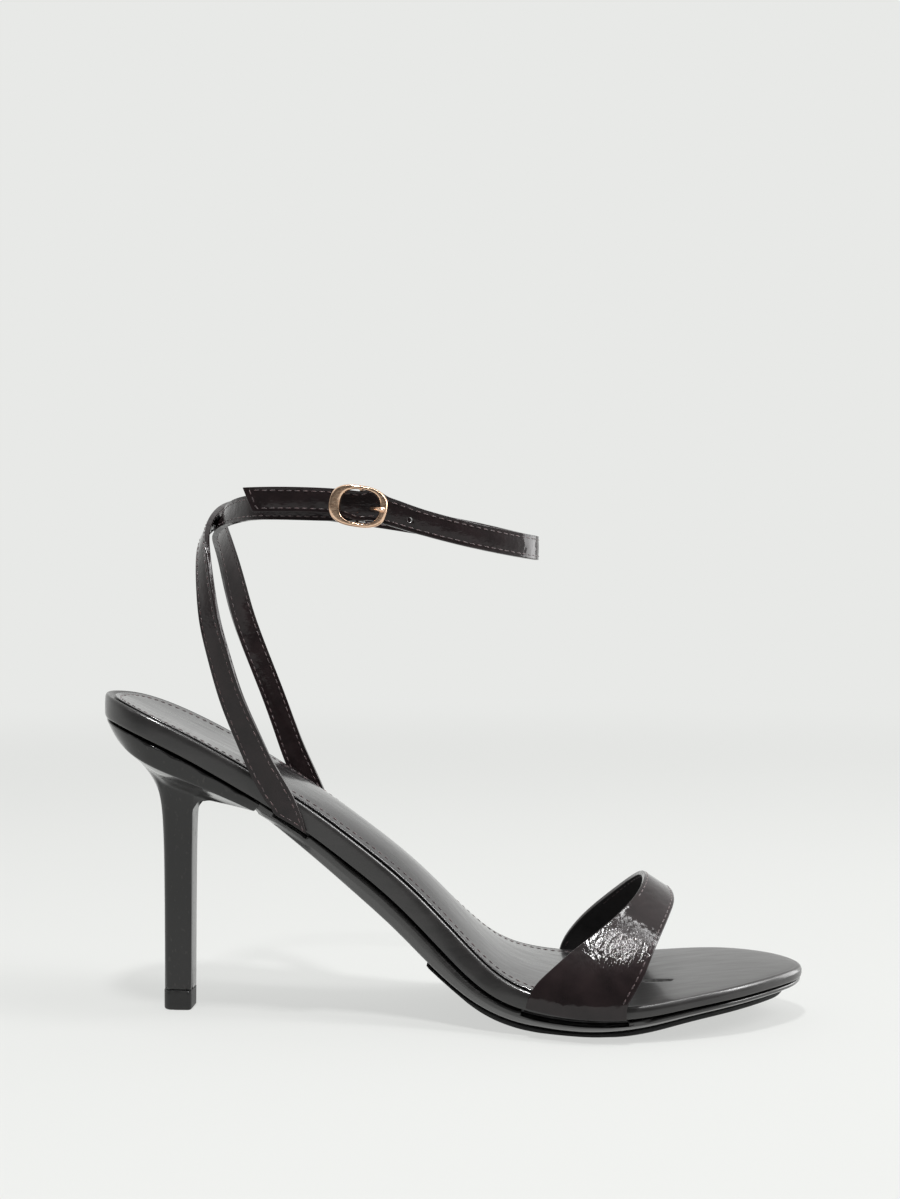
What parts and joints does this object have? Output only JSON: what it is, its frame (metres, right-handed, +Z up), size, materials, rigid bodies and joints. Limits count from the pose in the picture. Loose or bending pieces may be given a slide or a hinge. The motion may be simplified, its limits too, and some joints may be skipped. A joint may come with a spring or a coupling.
{
  "type": "strappy heeled sandal",
  "caption": "Open sandal on a slim high heel, with a band over the toes and crossed back straps that run into a buckled ankle strap.",
  "frame": {"origin": "middle of the heel tip's ground face, on the floor", "axes": "+X from the heel towards the toe, +Y towards the inner side of the foot, +Z up"},
  "size_m": [0.223, 0.0791, 0.1658],
  "materials": {
    "footbed_leather": "satin black leather wrapped round the board",
    "sock_leather": "glossy black leather",
    "outsole": "satin black",
    "tread": "matt black",
    "heel_cover": "satin black leather over a plastic core",
    "heel_tip": "satin black",
    "patent_leather": "glossy brown-black patent leather",
    "rose_gold": "polished rose gold plate"
  },
  "bodies": {
    "root": {"footbed": "footbed_leather", "insole": "sock_leather", "outsole": "outsole", "half_sole": "tread", "heel": "heel_cover", "heel_tip": "heel_tip", "toe_strap": "patent_leather", "ankle_straps": "patent_leather", "buckle_frame": "rose_gold", "buckle_prong": "rose_gold"}
  },
  "joints": []
}
